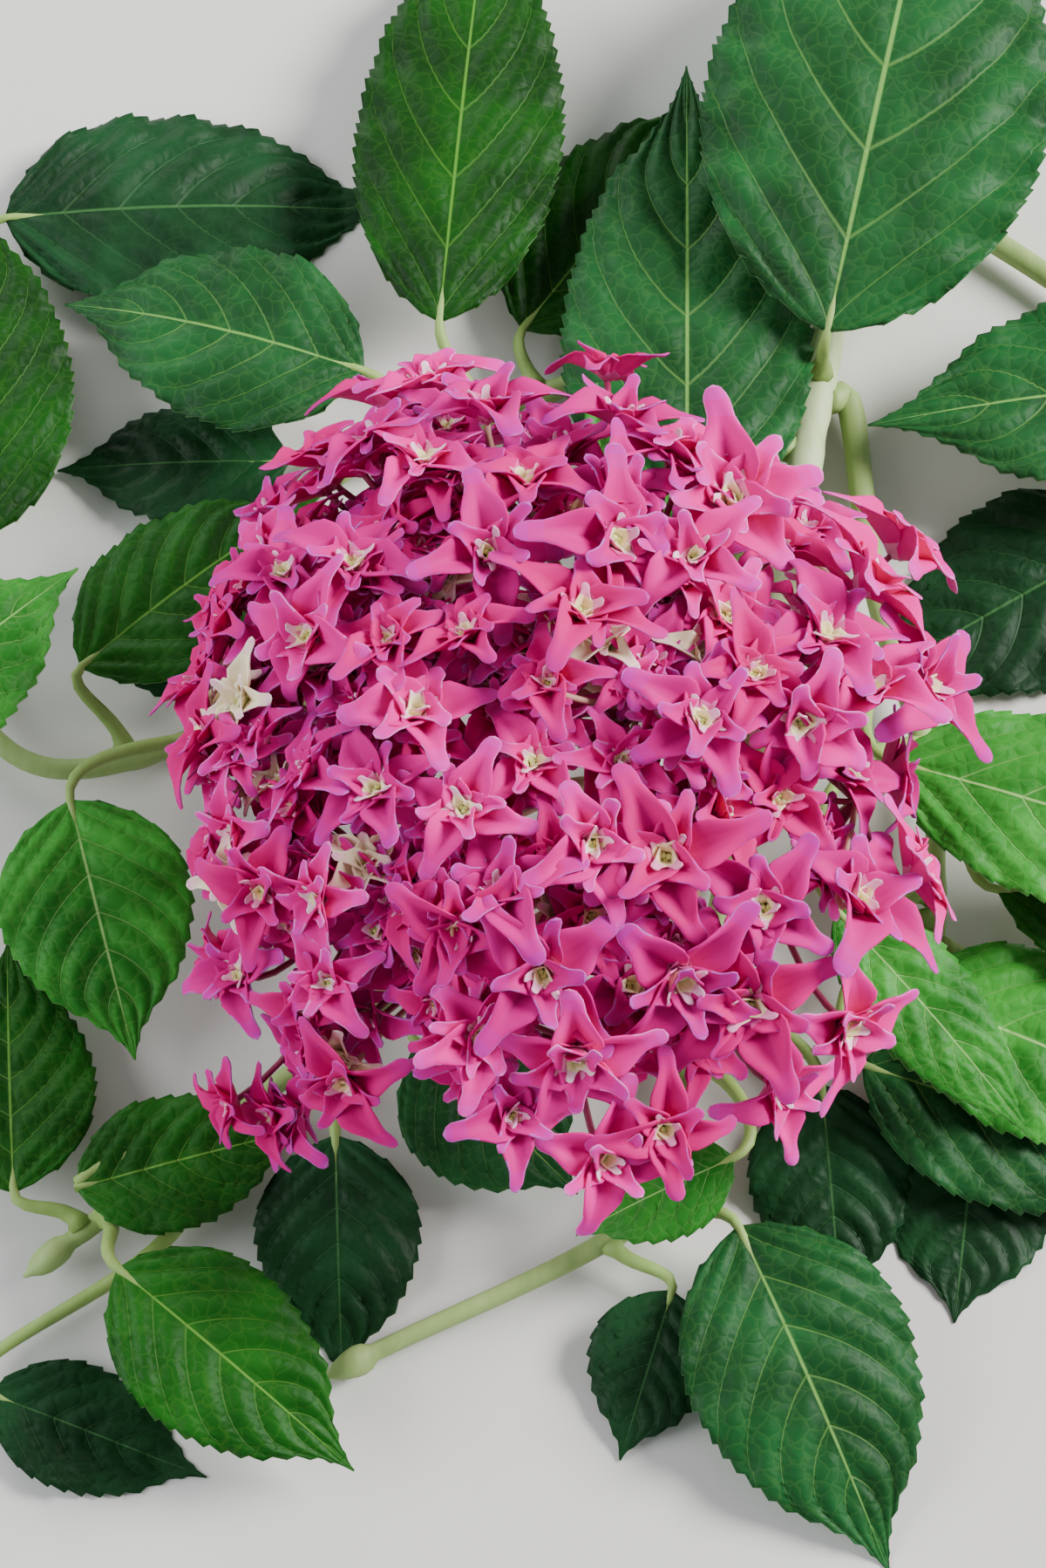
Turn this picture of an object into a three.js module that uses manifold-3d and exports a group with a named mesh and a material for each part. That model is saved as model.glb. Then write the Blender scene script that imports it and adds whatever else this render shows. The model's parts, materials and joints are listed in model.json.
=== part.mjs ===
// A flowering hydrangea branch, cut and lying down, in millimetres with +Z up.
// One main stem runs along the surface it lies on and rises to carry a mophead of double, starry florets.
// Six side shoots leave the stem below the bloom and hold single leaves on their own stalks.
// The origin is on the surface, under the middle of the branch. +Y runs towards the cut end of the stem.
import * as THREE from 'three';
import { mergeVertices } from 'three/addons/utils/BufferGeometryUtils.js';
import Module from 'manifold-3d';

const wasm = await Module();
wasm.setup();

const clearance = 0.3; // between solids that touch on the plant
const leastEdge = 0.01; // what is shorter after joining is closed up
const layoutOrigin = [19, 54]; // where the origin lies in the layout that the points below are given in

// The stem from its flat cut to the fork of the bloom.
const stem = {
  points: [[102, 268, 5], [92, 195, 5.5], [77, 118, 12], [67, 60, 33], [58, 8, 54]],
  cutRadius: 4.9,
  tipRadius: 3.9,
  sides: 9,
};

// Side shoots: where each leaves the stem, as a share of its curve, and the points that it passes.
const shoots = {
  upper_left_shoot: { from: 0.36, points: [[40, 141, 8], [-8, 118, 8], [-48, 101, 9]] },
  upper_right_shoot: { from: 0.31, points: [[128, 170, 7], [168, 132, 8], [178, 84, 8]] },
  left_shoot: {
    from: 0.50,
    points: [[28, 74, 8], [-60, 36, 7], [-122, 18, 8], [-150, 56, 8], [-153, 132, 7]],
  },
  right_shoot: { from: 0.545, points: [[92, 66, 9], [104, 14, 9], [103, -40, 8]] },
  lower_left_shoot: { from: 0.57, points: [[36, 30, 8], [-34, -42, 7], [-114, -108, 8]] },
  lower_shoot: { from: 0.64, points: [[58, 18, 9], [40, -60, 8], [30, -98, 9], [-40, -134, 6]] },
};
const shootBaseRadius = 3.6;
const shootTipRadius = 2.2;
const shootSides = 6;
const ringSpacing = 22; // along the stem and the shoots
const shootLeavesBy = 6; // a shoot stands square to the stem for this far, then turns
const bud = { radius: 3, length: 12 }; // at the end of each shoot

// Leaves. base is the foot of the blade, at is the place of the leaf stalk on its shoot, heading is the way
// the blade points in plan, rise its slope there, and droop how far it bends down by its tip.
const leaves = {
  leaf_top_right: {
    on: 'stem', at: 0.53, base: [79, 129, 34], heading: 77,
    long: 172, wide: 94, rise: 20, droop: 46,
  },
  leaf_centre_right: {
    on: 'stem', at: 0.62, base: [42, 76, 25], heading: 89,
    long: 142, wide: 68, rise: 5, droop: 16,
  },
  leaf_top_centre: {
    on: 'upper_left_shoot', at: 0.73, base: [-22, 138, 22], heading: 85,
    long: 146, wide: 58, rise: 6, droop: 24,
  },
  leaf_top_behind: {
    on: 'upper_left_shoot', at: 0.62, base: [0, 142, 10], heading: 54,
    long: 94, wide: 50, rise: 2, droop: 12,
  },
  leaf_upper_left: {
    on: 'upper_left_shoot', at: 0.86, base: [-42, 122, 25], heading: 164,
    long: 84, wide: 54, rise: 12, droop: 34,
  },
  leaf_under_upper_left: {
    on: 'upper_left_shoot', at: 0.94, base: [-62, 104, 8], heading: 180,
    long: 62, wide: 38, rise: 2, droop: 16,
  },
  leaf_far_upper_left: {
    on: 'left_shoot', at: 0.98, base: [-140, 176, 9], heading: 5,
    long: 108, wide: 62, rise: 4, droop: 24,
  },
  leaf_far_left: {
    on: 'left_shoot', at: 0.8, base: [-141, 76, 20], heading: 94,
    long: 108, wide: 54, rise: 6, droop: 22,
  },
  leaf_left: {
    on: 'left_shoot', at: 0.6, base: [-112, 40, 22], heading: 40,
    long: 78, wide: 44, rise: 10, droop: 28,
  },
  leaf_left_low: {
    on: 'left_shoot', at: 0.54, base: [-112, 0, 32], heading: 285,
    long: 66, wide: 50, rise: -6, droop: 26,
  },
  leaf_left_small: {
    on: 'left_shoot', at: 0.4, base: [-70, 52, 10], heading: 190,
    long: 40, wide: 28, rise: 0, droop: 10,
  },
  leaf_left_edge: {
    on: 'left_shoot', at: 0.74, base: [-166, 8, 44], heading: 42,
    long: 74, wide: 44, rise: 10, droop: 20,
  },
  leaf_right_edge: {
    on: 'upper_right_shoot', at: 0.8, base: [200, 122, 22], heading: 188,
    long: 112, wide: 62, rise: 12, droop: 22,
  },
  leaf_right_behind: {
    on: 'upper_right_shoot', at: 0.98, base: [162, 84, 8], heading: 209,
    long: 84, wide: 56, rise: 0, droop: 14,
  },
  leaf_right_upper: {
    on: 'right_shoot', at: 0.5, base: [92, 8, 38], heading: 342,
    long: 112, wide: 50, rise: 8, droop: 28,
  },
  leaf_right_middle: {
    on: 'right_shoot', at: 0.72, base: [118, -20, 23], heading: 357,
    long: 92, wide: 46, rise: 6, droop: 26,
  },
  leaf_right_lower: {
    on: 'right_shoot', at: 0.86, base: [94, -44, 16], heading: 337,
    long: 90, wide: 50, rise: 6, droop: 22,
  },
  leaf_right_point: {
    on: 'right_shoot', at: 0.62, base: [76, -32, 42], heading: 312,
    long: 72, wide: 30, rise: 0, droop: 28,
  },
  leaf_right_broad: {
    on: 'right_shoot', at: 0.9, base: [84, -62, 12], heading: 342,
    long: 92, wide: 50, rise: 0, droop: 10,
  },
  leaf_lower_right_dark: {
    on: 'right_shoot', at: 0.94, base: [112, -76, 2], heading: 262,
    long: 48, wide: 44, rise: 0, droop: 6,
  },
  leaf_lower_right_back: {
    on: 'lower_shoot', at: 0.52, base: [74, -66, 7], heading: 274,
    long: 56, wide: 42, rise: -2, droop: 14,
  },
  leaf_bottom_right: {
    on: 'lower_shoot', at: 0.7, base: [52, -104, 18], heading: 294,
    long: 90, wide: 58, rise: 4, droop: 34,
  },
  leaf_bottom_middle: {
    on: 'lower_shoot', at: 0.76, base: [36, -118, 10], heading: 252,
    long: 42, wide: 32, rise: -4, droop: 20,
  },
  leaf_bottom_young: {
    on: 'lower_shoot', at: 0.58, base: [50, -90, 30], heading: 204,
    long: 42, wide: 26, rise: 4, droop: 34,
  },
  leaf_under_bloom: {
    on: 'lower_left_shoot', at: 0.62, base: [-26, -58, 18], heading: 318,
    long: 54, wide: 44, rise: 2, droop: 26,
  },
  leaf_bottom_back: {
    on: 'lower_left_shoot', at: 0.74, base: [-46, -80, 12], heading: 272,
    long: 60, wide: 42, rise: -4, droop: 26,
  },
  leaf_lower_left: {
    on: 'lower_left_shoot', at: 0.95, base: [-96, -116, 26], heading: 321,
    long: 74, wide: 44, rise: 6, droop: 34,
  },
  leaf_lower_left_upper: {
    on: 'lower_left_shoot', at: 0.88, base: [-108, -94, 17], heading: 16,
    long: 58, wide: 36, rise: 0, droop: 8,
  },
  leaf_left_upright: {
    on: 'lower_left_shoot', at: 0.97, base: [-124, -94, 13], heading: 95,
    long: 66, wide: 44, rise: 2, droop: 16,
  },
  leaf_corner: {
    on: 'lower_left_shoot', at: 0.88, base: [-128, -142, 6], heading: 340,
    long: 56, wide: 32, rise: -2, droop: 16,
  },
  leaf_young_top: {
    on: 'stem', at: 0.86, base: [32, 70, 48], heading: 33,
    long: 38, wide: 18, rise: 4, droop: 8, fold: 34,
  },
  leaf_young_tip: {
    on: 'stem', at: 0.9, base: [20, 74, 44], heading: 92,
    long: 34, wide: 15, rise: 8, droop: 10, fold: 38,
  },
};
const leafDefaults = { fold: 10, curl: 0.22, wave: 0.05 };
const leastThickness = 1.2;
const thicknessShare = 0.011; // of the blade's length
const toothLength = 12; // of the blade's edge, from one tooth to the next
const toothDepth = 0.07; // of the half width
const longLeaf = 90; // from this length on a blade has four columns across, below it two
const midribDepth = 1.1; // below the blade, at its foot
const stalkBaseRadius = 2.4;
const stalkTipRadius = 1.7;
const stalkRows = 4;

// The bloom: a flattened dome of florets over a fork that stands to the right of its middle.
const bloom = {
  middle: [9, -3],
  reach: [94, 108],
  rimHeight: 49,
  crownHeight: 68,
  florets: 92,
  cymes: 18,
  branches: 6,
  cymeShare: 0.74, // of the way from the fork to the dome
  branchShare: 0.36,
  lowShare: 0.84, // of the dome's height and reach, for every third floret
  crowdedLeft: 0.1,
  facingUp: 0.5, // added to the way out of the dome, so that the florets of the rim still face up
  notches: [ // in its outline; a depth below 0 makes a lobe
    { angle: 66, depth: 0.32, spread: 15 },
    { angle: 38, depth: -0.12, spread: 10 },
    { angle: 110, depth: -0.1, spread: 16 },
    { angle: 178, depth: 0.06, spread: 20 },
    { angle: 222, depth: -0.08, spread: 10 },
    { angle: 246, depth: 0.1, spread: 9 },
    { angle: 272, depth: 0.1, spread: 14 },
    { angle: 303, depth: -0.06, spread: 8 },
    { angle: 350, depth: 0.05, spread: 14 },
  ],
  seed: 4216,
};
const floret = { radius: 18, thickness: 1.1, stalkRadius: 1.2, smallerLeft: 0.2, turnedBy: 0.45 };
const neckLength = 12; // of the bloom's own stalk, above the end of the stem

// The corners of one sepal and of the notch beside it, as shares of the sepal's turn and of the floret's
// radius: across the turn, outwards, and up. The inner ring stands in the notches of the outer one.
const outerRing = [[-0.5, 0.5, 0.04], [0, 1, -0.02]];
const innerRing = [[-0.5, 0.52, 0.36], [0, 0.16, 0.1]];

function seededRandom(seed) {
  const multiplier = 16807;
  const modulus = 2147483647;
  let state = seed;
  return () => {
    state = (state * multiplier) % modulus;
    return state / modulus;
  };
}

function curveThrough(points) {
  const tension = 0.5;
  const corners = points.map((p) => new THREE.Vector3(...p));
  return new THREE.CatmullRomCurve3(corners, false, 'catmullrom', tension);
}

function solidOf(geometry) {
  geometry.deleteAttribute('normal');
  geometry.deleteAttribute('uv');
  const closed = mergeVertices(geometry, 1e-4);
  return new wasm.Manifold(new wasm.Mesh({
    numProp: 3,
    vertProperties: closed.attributes.position.array,
    triVerts: new Uint32Array(closed.index.array),
  }));
}

function joined(solids) {
  if (solids.length === 1) return solids[0];
  const half = Math.ceil(solids.length / 2);
  return joined(solids.slice(0, half)).add(joined(solids.slice(half)));
}

// One body without hollows: what the joining seals off inside is filled, and a loose scrap is dropped.
function oneBody(solid) {
  return solid.decompose().reduce((most, body) => (body.volume() > most.volume() ? body : most));
}

function geometryOf(solid) {
  const mesh = solid.simplify(leastEdge).getMesh();
  return new THREE.BufferGeometry()
    .setAttribute('position', new THREE.BufferAttribute(new Float32Array(mesh.vertProperties), 3))
    .setIndex(new THREE.BufferAttribute(new Uint32Array(mesh.triVerts), 1));
}

// A limb runs straight from ring to ring, so that what stands on it stands clear of its flat faces.
function limbOf(points, baseRadius, tipRadius, sides) {
  const curve = curveThrough(points);
  const steps = Math.max(2, Math.round(curve.getLength() / ringSpacing));
  const path = new THREE.CurvePath();
  const rings = curve.getSpacedPoints(steps);
  rings.slice(1).forEach((ring, i) => path.add(new THREE.LineCurve3(rings[i], ring)));
  return { curve, path, steps, sides, baseRadius, tipRadius };
}

// A tapering limb is a cylinder whose rings are set square across its curve.
function limbGeometry({ curve, steps, sides, baseRadius, tipRadius }) {
  const geometry = new THREE.CylinderGeometry(tipRadius, baseRadius, 1, sides, steps);
  const frames = curve.computeFrenetFrames(steps, false);
  const { position } = geometry.attributes;
  for (let i = 0; i < position.count; i += 1) {
    const ring = Math.round((position.getY(i) + 0.5) * steps);
    const point = curve.getPointAt(ring / steps)
      .addScaledVector(frames.normals[ring], position.getX(i))
      .addScaledVector(frames.binormals[ring], -position.getZ(i));
    position.setXYZ(i, point.x, point.y, point.z);
  }
  return geometry;
}

function straightLimb(from, to, baseRadius, tipRadius, sides) {
  const curve = new THREE.LineCurve3(from, to);
  return solidOf(limbGeometry({ curve, steps: 1, sides, baseRadius, tipRadius }));
}

// A place just clear of a limb's bark on the side that faces a target, and the way out of the bark there.
function onBark(limb, share, target) {
  const centre = limb.path.getPointAt(share);
  const along = limb.path.getTangentAt(share);
  const out = target.clone().sub(centre);
  out.addScaledVector(along, -out.dot(along)).normalize();
  const radius = THREE.MathUtils.lerp(limb.baseRadius, limb.tipRadius, share);
  return { point: centre.addScaledVector(out, radius + clearance), out };
}

function shootSolid(shoot) {
  const end = shoot.curve.getPoint(1);
  const away = shoot.curve.getTangent(1);
  const turned = new THREE.Quaternion().setFromUnitVectors(new THREE.Vector3(0, 1, 0), away);
  const budGeometry = new THREE.SphereGeometry(1, shoot.sides, 4);
  budGeometry.scale(bud.radius, bud.length / 2, bud.radius).applyQuaternion(turned);
  budGeometry.translate(...end.addScaledVector(away, 0.3 * bud.length));
  return solidOf(limbGeometry(shoot)).add(solidOf(budGeometry));
}

// The midrib as points with their frames, from the foot of the blade, bending down towards its tip.
function midribOf(leaf, rows) {
  const finer = 4;
  const steps = rows * finer;
  const heading = THREE.MathUtils.degToRad(leaf.heading);
  const side = new THREE.Vector3(-Math.sin(heading), Math.cos(heading), 0);
  const point = new THREE.Vector3(...leaf.base);
  const frames = [];
  for (let i = 0; i <= steps; i += 1) {
    const pitch = THREE.MathUtils.degToRad(leaf.rise - leaf.droop * (i / steps));
    const along = new THREE.Vector3(
      Math.cos(pitch) * Math.cos(heading), Math.cos(pitch) * Math.sin(heading), Math.sin(pitch));
    if (i % finer === 0) {
      frames.push({ point: point.clone(), along, side, up: along.clone().cross(side) });
    }
    point.addScaledVector(along, leaf.long / steps);
  }
  return frames;
}

function thicknessOf(leaf) {
  return Math.max(leastThickness, thicknessShare * leaf.long);
}

// The leaf stalk as points with their frames, from the bark to the foot of the blade.
function stalkOf(leaf, limb, foot) {
  const end = foot.point.clone().addScaledVector(foot.up, 0.5 * thicknessOf(leaf));
  const { point, out } = onBark(limb, leaf.at, end);
  const reach = point.distanceTo(end);
  const curve = new THREE.CubicBezierCurve3(
    point,
    point.clone().addScaledVector(out, 0.4 * reach),
    end.clone().addScaledVector(foot.along, -0.35 * reach),
    end);
  const frames = [];
  let { side } = foot;
  for (let row = stalkRows; row >= 0; row -= 1) {
    const along = curve.getTangentAt(row / stalkRows);
    side = side.clone().addScaledVector(along, -side.dot(along)).normalize();
    const point = curve.getPointAt(row / stalkRows);
    frames.unshift({ point, along, side, up: along.clone().cross(side) });
  }
  return frames;
}

// Half the blade's width at a share of its length: broad below the middle, drawn out to a point.
function halfWidthAt(leaf, share) {
  const footPower = 0.62;
  const tipPower = 1.05;
  const widest = footPower / (footPower + tipPower);
  const most = widest ** footPower * (1 - widest) ** tipPower;
  return (leaf.wide / 2) * (share ** footPower * (1 - share) ** tipPower) / most;
}

// A leaf is one thin box drawn out along its stalk, where it is round, and on along its midrib, where it
// takes the blade's toothed outline. What would sink through the surface below is laid flat on it.
function leafGeometry(leaf, limb) {
  const bladeRows = 2 * Math.max(2, Math.round(leaf.long / (2 * toothLength)));
  const columns = leaf.long >= longLeaf ? 4 : 2;
  const rows = stalkRows + bladeRows;
  const geometry = new THREE.BoxGeometry(1, 1, 1, rows, columns, 1);
  const midrib = midribOf(leaf, bladeRows);
  const stalk = stalkOf(leaf, limb, midrib[0]);
  const fold = THREE.MathUtils.degToRad(leaf.fold);
  const thickness = thicknessOf(leaf);
  const { position } = geometry.attributes;
  for (let i = 0; i < position.count; i += 1) {
    const row = Math.round((position.getX(i) + 0.5) * rows);
    const across = position.getY(i) * 2;
    const top = position.getZ(i) > 0;
    const share = (row - stalkRows) / bladeRows;
    let sideways;
    let upwards;
    if (share <= 0) {
      const turn = across * Math.PI / 2 * columns / (columns + 1);
      const towardsBark = -share * bladeRows / stalkRows;
      const radius = THREE.MathUtils.lerp(stalkTipRadius, stalkBaseRadius, towardsBark);
      sideways = radius * Math.sin(turn);
      upwards = radius * Math.cos(turn) * (top ? 1 : -1);
    } else {
      const tooth = Math.abs(across) > 0.99 && row % 2 === 0 ? 1 - toothDepth : 1;
      const half = Math.max(0.5, halfWidthAt(leaf, share) * tooth);
      const rib = across === 0 && !top ? midribDepth * (1 - share) : 0;
      const wave = leaf.wave * across * across * Math.sin(Math.PI * 3 * share + Math.sign(across));
      sideways = across * half * Math.cos(fold);
      upwards = half * (Math.abs(across) * Math.sin(fold) - leaf.curl * across * across + wave)
        + (top ? thickness : -rib);
    }
    const { point, side, up } = share <= 0 ? stalk[row] : midrib[row - stalkRows];
    const spot = point.clone().addScaledVector(side, sideways).addScaledVector(up, upwards);
    const lowest = top && share > 0 ? thickness : 0;
    position.setXYZ(i, spot.x, spot.y, Math.max(spot.z, lowest));
  }
  return geometry;
}

// Share of the full reach that the bloom's outline has in a direction.
function outlineAt(angle) {
  let share = 1;
  for (const notch of bloom.notches) {
    const away = THREE.MathUtils.euclideanModulo(angle - notch.angle + 180, 360) - 180;
    share -= notch.depth * Math.exp(-((away / notch.spread) ** 2));
  }
  return share;
}

// Places in a unit disc, spread by the golden angle and shaken a little, closer together on the left.
function discPlaces(count, random) {
  const goldenAngle = 137.508;
  const evenness = 0.45;
  const shake = 0.05;
  return Array.from({ length: count }, (_, i) => {
    const radius = ((i + 0.5) / count) ** evenness + shake * (random() - 0.5);
    const angle = i * goldenAngle + 120 * shake * (random() - 0.5);
    const turn = THREE.MathUtils.degToRad(angle);
    const reach = radius * outlineAt(angle);
    return [reach * Math.cos(turn) - bloom.crowdedLeft * (1 - radius * radius), reach * Math.sin(turn)];
  });
}

// The point of the dome over a place in the disc, and the way out of the dome there.
function domeAt([x, y], share) {
  const radius = Math.min(Math.hypot(x, y), 1);
  const height = Math.sqrt(1 - radius * radius);
  return {
    point: new THREE.Vector3(
      bloom.middle[0] + bloom.reach[0] * x * share,
      bloom.middle[1] + bloom.reach[1] * y * share,
      bloom.rimHeight + bloom.crownHeight * height * share),
    out: new THREE.Vector3(x, y, height + bloom.facingUp).normalize(),
  };
}

function nearest(place, places) {
  const distances = places.map(([x, y]) => Math.hypot(place[0] - x, place[1] - y));
  return distances.indexOf(Math.min(...distances));
}

function floretPlaces() {
  const random = seededRandom(bloom.seed);
  return discPlaces(bloom.florets, random).map((place, i) => {
    const low = i % 3 === 2;
    const { point, out } = domeAt(place, low ? bloom.lowShare : 1);
    const turned = new THREE.Vector3(random() - 0.5, random() - 0.5, random() - 0.5);
    out.addScaledVector(turned, 2 * floret.turnedBy).normalize();
    const size = (0.8 + 0.4 * random()) * (1 + floret.smallerLeft * place[0]) * (low ? 0.85 : 1);
    const radius = floret.radius * size;
    const sepals = i % 4 === 1 ? 5 : 4;
    return { place, point, out, low, radius, sepals, spin: Math.PI * random() };
  });
}

// A double floret on its stalk: a sphere whose upper ring is drawn out into the short upright sepals, the
// next one into the long ones, and the lowest in to the head of the stalk. Its pole is the stalk's foot.
// A low floret has the long sepals only.
function floretSolid(place, foot) {
  const rings = place.low ? [outerRing] : [innerRing, outerRing];
  const corners = outerRing.length * place.sepals;
  const geometry = new THREE.SphereGeometry(1, corners, rings.length + 2);
  const { position } = geometry.attributes;
  const turned = new THREE.Quaternion().setFromUnitVectors(new THREE.Vector3(0, 0, 1), place.out)
    .multiply(new THREE.Quaternion().setFromAxisAngle(new THREE.Vector3(0, 0, 1), place.spin));
  for (let i = 0; i < position.count; i += 1) {
    const band = Math.floor(i / (corners + 1));
    const corner = (i % (corners + 1)) % corners;
    const spot = new THREE.Vector3(0, 0, floret.thickness);
    if (band > 0 && band <= rings.length) {
      const [turnShare, reach, lift] = rings[band - 1][corner % outerRing.length];
      const turn = (Math.floor(corner / outerRing.length) + turnShare) / place.sepals * 2 * Math.PI;
      spot.set(reach * Math.cos(turn), reach * Math.sin(turn), lift).multiplyScalar(place.radius);
    } else if (band > rings.length) {
      const turn = corner / corners * 2 * Math.PI;
      const reach = floret.stalkRadius * (corner % 2 === 0 ? 1 : Math.cos(Math.PI / place.sepals));
      spot.set(reach * Math.cos(turn), reach * Math.sin(turn), -floret.thickness);
    }
    spot.applyQuaternion(turned).add(place.point);
    if (band > rings.length + 1) spot.copy(foot);
    position.setXYZ(i, spot.x, spot.y, spot.z);
  }
  return solidOf(geometry);
}

// The neck forks into branches, each branch into cymes, and each cyme into the stalks of its florets.
function bloomSolid(stemCurve) {
  const rising = stemCurve.getTangent(1);
  const fork = stemCurve.getPoint(1).addScaledVector(rising, neckLength);
  const random = seededRandom(bloom.seed + 1);
  const cymePlaces = discPlaces(bloom.cymes, random);
  const branchPlaces = discPlaces(bloom.branches, random);
  const between = (place, share) => fork.clone().lerp(domeAt(place, 1).point, share);
  const neckFoot = stemCurve.getPoint(1).addScaledVector(rising, clearance);
  const solids = [straightLimb(neckFoot, fork, stem.tipRadius, stem.tipRadius, stem.sides)];
  for (const place of branchPlaces) {
    const from = fork.clone().addScaledVector(rising, -4);
    solids.push(straightLimb(from, between(place, bloom.branchShare), 2.6, 2.0, 5));
  }
  for (const place of cymePlaces) {
    const from = between(branchPlaces[nearest(place, branchPlaces)], bloom.branchShare * 0.98);
    solids.push(straightLimb(from, between(place, bloom.cymeShare), 1.9, 1.5, 4));
  }
  for (const each of floretPlaces()) {
    const from = between(cymePlaces[nearest(each.place, cymePlaces)], bloom.cymeShare * 0.99);
    solids.push(floretSolid(each, from));
  }
  return joined(solids);
}

const stemGreen = new THREE.MeshStandardMaterial({ color: 0xb9cf98, roughness: 0.6, metalness: 0 });
const shootGreen = new THREE.MeshStandardMaterial({ color: 0x86a35a, roughness: 0.6, metalness: 0 });
const leafGreen = new THREE.MeshStandardMaterial({ color: 0x2f7a34, roughness: 0.5, metalness: 0 });
const sepalPink = new THREE.MeshStandardMaterial({ color: 0xd9468c, roughness: 0.55, metalness: 0 });

const branch = new THREE.Group();
branch.name = 'hydrangea_branch';

function addMesh(name, geometry, material) {
  const mesh = new THREE.Mesh(geometry, material);
  mesh.name = name;
  branch.add(mesh);
}

const limbs = { stem: limbOf(stem.points, stem.cutRadius, stem.tipRadius, stem.sides) };
addMesh('main_stem', limbGeometry(limbs.stem), stemGreen);

for (const [name, { from, points }] of Object.entries(shoots)) {
  const { point, out } = onBark(limbs.stem, from, new THREE.Vector3(...points[0]));
  const turn = point.clone().addScaledVector(out, shootLeavesBy);
  const route = [point.toArray(), turn.toArray(), ...points];
  limbs[name] = limbOf(route, shootBaseRadius, shootTipRadius, shootSides);
  addMesh(name, geometryOf(oneBody(shootSolid(limbs[name]))), shootGreen);
}

for (const [name, row] of Object.entries(leaves)) {
  const leaf = { ...leafDefaults, ...row };
  addMesh(name, leafGeometry(leaf, limbs[leaf.on]), leafGreen);
}

addMesh('bloom', geometryOf(oneBody(bloomSolid(limbs.stem.curve))), sepalPink);
branch.position.set(-layoutOrigin[0], -layoutOrigin[1], 0);

export default branch;
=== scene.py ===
import json
import math

import bmesh
import bpy
from mathutils import Matrix, Quaternion, Vector

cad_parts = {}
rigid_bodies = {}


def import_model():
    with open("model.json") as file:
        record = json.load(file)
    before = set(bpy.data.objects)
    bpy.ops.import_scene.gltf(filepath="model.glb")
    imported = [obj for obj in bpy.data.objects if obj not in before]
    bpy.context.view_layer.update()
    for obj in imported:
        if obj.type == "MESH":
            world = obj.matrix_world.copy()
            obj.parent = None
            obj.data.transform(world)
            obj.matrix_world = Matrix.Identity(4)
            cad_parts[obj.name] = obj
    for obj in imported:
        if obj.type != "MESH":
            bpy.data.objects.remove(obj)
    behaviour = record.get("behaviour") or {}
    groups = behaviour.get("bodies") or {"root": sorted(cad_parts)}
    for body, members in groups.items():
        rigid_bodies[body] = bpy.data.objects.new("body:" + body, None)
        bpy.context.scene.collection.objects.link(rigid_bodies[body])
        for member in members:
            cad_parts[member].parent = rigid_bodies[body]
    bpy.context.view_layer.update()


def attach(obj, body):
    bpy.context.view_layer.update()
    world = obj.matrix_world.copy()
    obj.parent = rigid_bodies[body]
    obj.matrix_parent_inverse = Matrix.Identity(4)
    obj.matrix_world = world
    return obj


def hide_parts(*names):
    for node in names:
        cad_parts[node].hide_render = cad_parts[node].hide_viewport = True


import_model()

mm = 0.001
layoutOrigin = Vector((19, 54, 0))  # the part's origin in the layout that the points below are given in
floorGap = 0.1  # nothing comes closer to the floor


# colour and node helpers

def linear(hexColour):
    channels = [int(hexColour[i:i + 2], 16) / 255 for i in (1, 3, 5)]
    return tuple(c / 12.92 if c <= 0.04045 else ((c + 0.055) / 1.055) ** 2.4
                 for c in channels) + (1.0,)


def addNode(tree, kind, settings=None, links=None):
    # a socket goes by its name, or by its number where several share one
    node = tree.nodes.new("ShaderNode" + kind)
    for key, value in (settings or {}).items():
        if isinstance(key, int) or key in node.inputs.keys():
            node.inputs[key].default_value = value
        else:
            setattr(node, key, value)
    for key, source in (links or {}).items():
        if isinstance(source, bpy.types.Node):
            source = source.outputs[0]
        tree.links.new(source, node.inputs[key])
    return node


colourA, colourB, mixedColour = 6, 7, 2  # a Mix node's two colour inputs, and its colour output


def newMaterial(name, settings):
    material = bpy.data.materials.new(name)
    material.use_nodes = True
    tree = material.node_tree
    tree.nodes.clear()
    surface = addNode(tree, "BsdfPrincipled", settings)
    addNode(tree, "OutputMaterial", links={"Surface": surface})
    return material, tree, surface


def plainMaterial(name, colour, roughness, ior=1.42, skin=None):
    settings = {"Base Color": linear(colour), "Roughness": roughness, "IOR": ior}
    return newMaterial(name, settings | (skin or {}))[0]


# curves, as the solids have them

def curvePoint(points, share):
    place = share * (len(points) - 1)
    i = min(int(place), len(points) - 2)
    t = place - i
    before = points[i - 1] if i > 0 else 2 * points[0] - points[1]
    after = points[i + 2] if i + 2 < len(points) else 2 * points[-1] - points[-2]
    a, b = points[i], points[i + 1]
    slopeA, slopeB = 0.5 * (b - before), 0.5 * (after - a)
    return ((2 * t ** 3 - 3 * t * t + 1) * a + (t ** 3 - 2 * t * t + t) * slopeA
            + (3 * t * t - 2 * t ** 3) * b + (t ** 3 - t * t) * slopeB)


def bezierPoint(points, t):
    a, b, c, d = points
    s = 1 - t
    return s ** 3 * a + 3 * s * s * t * b + 3 * s * t * t * c + t ** 3 * d


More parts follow.
